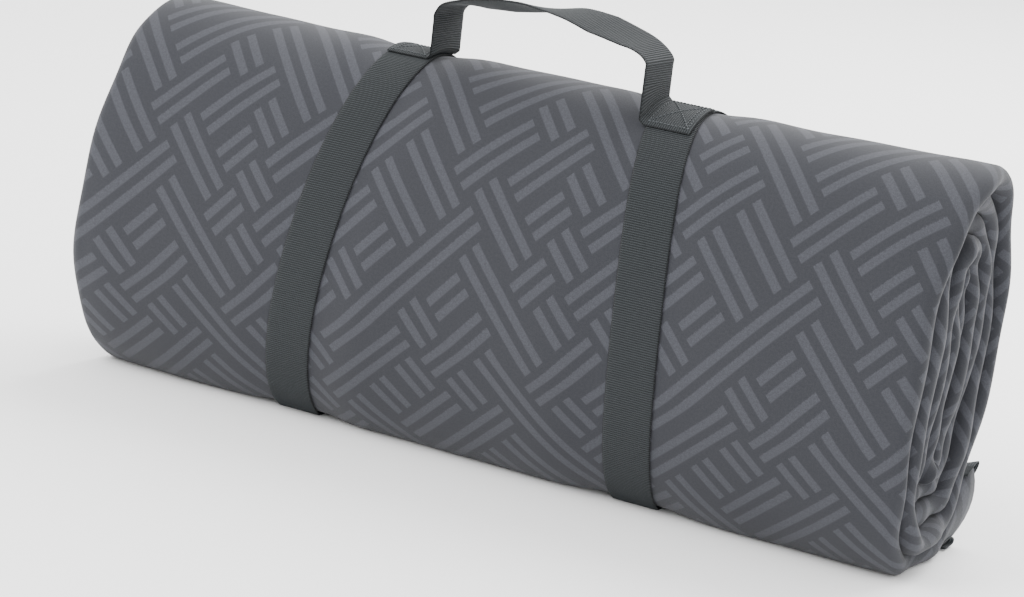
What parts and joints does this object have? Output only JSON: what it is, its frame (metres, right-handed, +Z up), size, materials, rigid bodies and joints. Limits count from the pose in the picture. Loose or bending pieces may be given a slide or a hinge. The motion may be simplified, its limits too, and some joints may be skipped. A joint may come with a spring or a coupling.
{
  "type": "rolled camp blanket",
  "caption": "Padded camp blanket with a basket-weave print, its sides folded in, rolled up and held by webbing straps that carry an arched webbing handle.",
  "frame": {"origin": "middle of the bounding box's underside, where the straps rest on the ground", "axes": "+X along the roll, towards the right-hand end seen from the front; -Y the front; +Z up, towards the handle"},
  "size_m": [0.685, 0.1696, 0.3448],
  "materials": {
    "printed_cloth": "soft brushed grey cloth with a lighter basket-weave bar print",
    "wadding": "loose polyester wadding",
    "backing_cloth": "coated dark backing cloth",
    "binding_tape": "narrow ribbed dark grey binding tape",
    "webbing": "matt ribbed polypropylene webbing",
    "thread": "sewing thread",
    "hook_and_loop": "fuzzy hook-and-loop tape"
  },
  "bodies": {
    "roll": {"printed_face": "printed_cloth", "wadding": "wadding", "backing": "backing_cloth", "side_binding_left": "binding_tape", "side_binding_right": "binding_tape", "end_binding_leaf": "binding_tape", "end_binding_left_flap": "binding_tape", "end_binding_right_flap": "binding_tape", "core_end_binding": "binding_tape", "left_strap": "webbing", "right_strap": "webbing", "left_tail_tack": "webbing", "right_tail_tack": "webbing", "left_loop_pad": "hook_and_loop", "right_loop_pad": "hook_and_loop", "handle_left_end": "webbing", "handle_right_end": "webbing", "handle_left_stitching": "thread", "handle_right_stitching": "thread"},
    "handle": {"handle_grip": "webbing"},
    "left_tail": {"left_strap_tail": "webbing", "left_hook_pad": "hook_and_loop"},
    "right_tail": {"right_strap_tail": "webbing", "right_hook_pad": "hook_and_loop"}
  },
  "joints": [
    {"name": "handle_fold", "type": "hinge", "parent": "roll", "child": "handle", "pos_m": [-0.0015, -0.00182, 0.30573], "axis": [0.9954, -0.0958, 0], "range_deg": [-80, 80]},
    {"name": "left_tail_peel", "type": "hinge", "parent": "roll", "child": "left_tail", "pos_m": [-0.13485, 0.08369, 0.18004], "axis": [1, 0, 0], "range_deg": [0, 150]},
    {"name": "right_tail_peel", "type": "hinge", "parent": "roll", "child": "right_tail", "pos_m": [0.12937, 0.08369, 0.18004], "axis": [1, 0, 0], "range_deg": [0, 150]}
  ]
}
